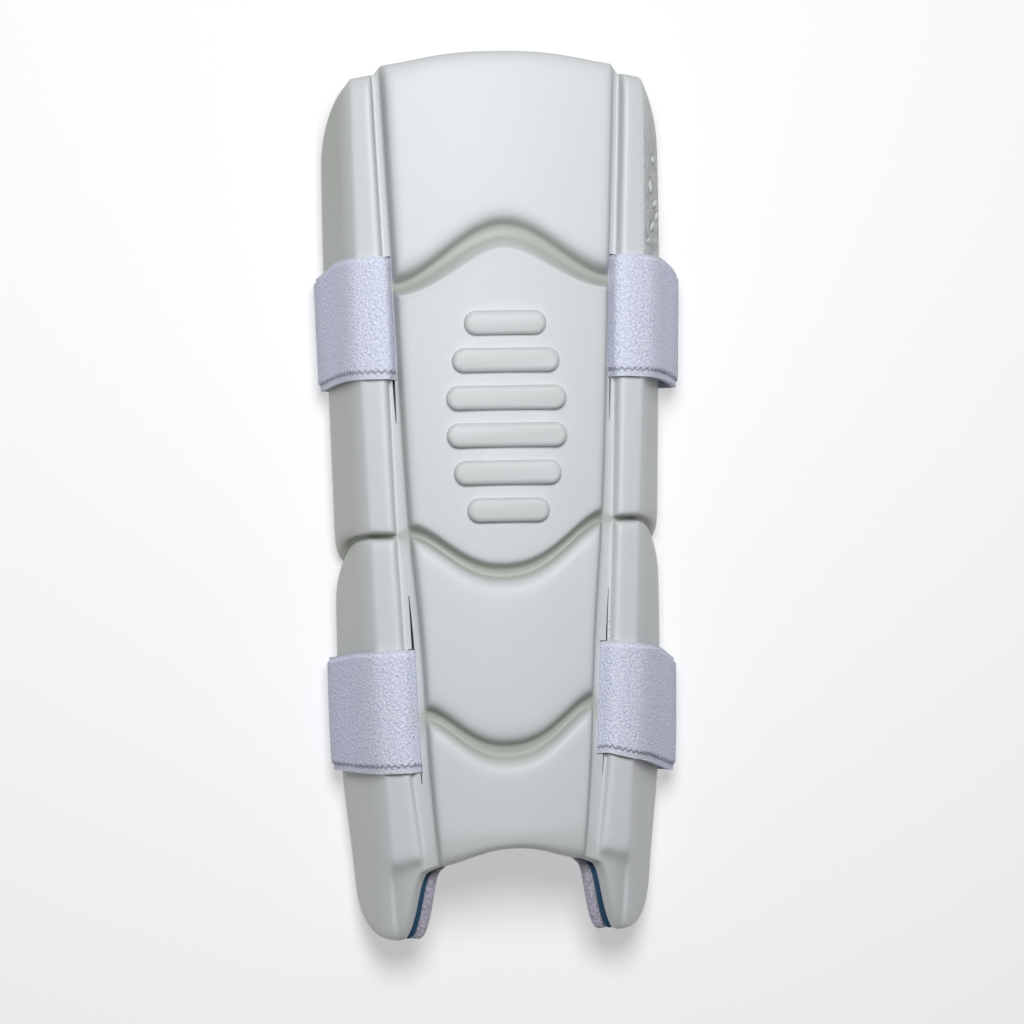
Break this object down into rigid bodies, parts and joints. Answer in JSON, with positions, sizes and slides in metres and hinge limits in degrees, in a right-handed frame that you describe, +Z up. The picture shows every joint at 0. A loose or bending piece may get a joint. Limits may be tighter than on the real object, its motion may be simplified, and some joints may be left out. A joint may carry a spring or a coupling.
{
  "type": "cricket arm guard",
  "caption": "Moulded foam forearm guard curved round the arm, with raised front pads, side bolsters split by a notch, a soft lining and wide elastic straps with hook tabs.",
  "frame": {"origin": "middle of the guard's box on the surface that it lies on, hollow side down", "axes": "+Z up through the padded face, +Y along the forearm to the round elbow end, +X across the guard"},
  "size_m": [0.1118, 0.2712, 0.0457],
  "materials": {
    "moulded_foam": "white moulded foam with a soft satin skin",
    "blue_foam_sheet": "blue sheet foam, matt",
    "towelling_lining": "pale grey towelling over thin padding",
    "loop_elastic": "lilac white elastic with a brushed loop pile",
    "hook_tape": "white woven hook tape"
  },
  "bodies": {
    "root": {"face_moulding": "moulded_foam", "backing_sheet": "blue_foam_sheet", "lining_pad": "towelling_lining", "upper_strap": "loop_elastic", "lower_strap": "loop_elastic", "upper_hook_tab": "hook_tape", "lower_hook_tab": "hook_tape"}
  },
  "joints": []
}
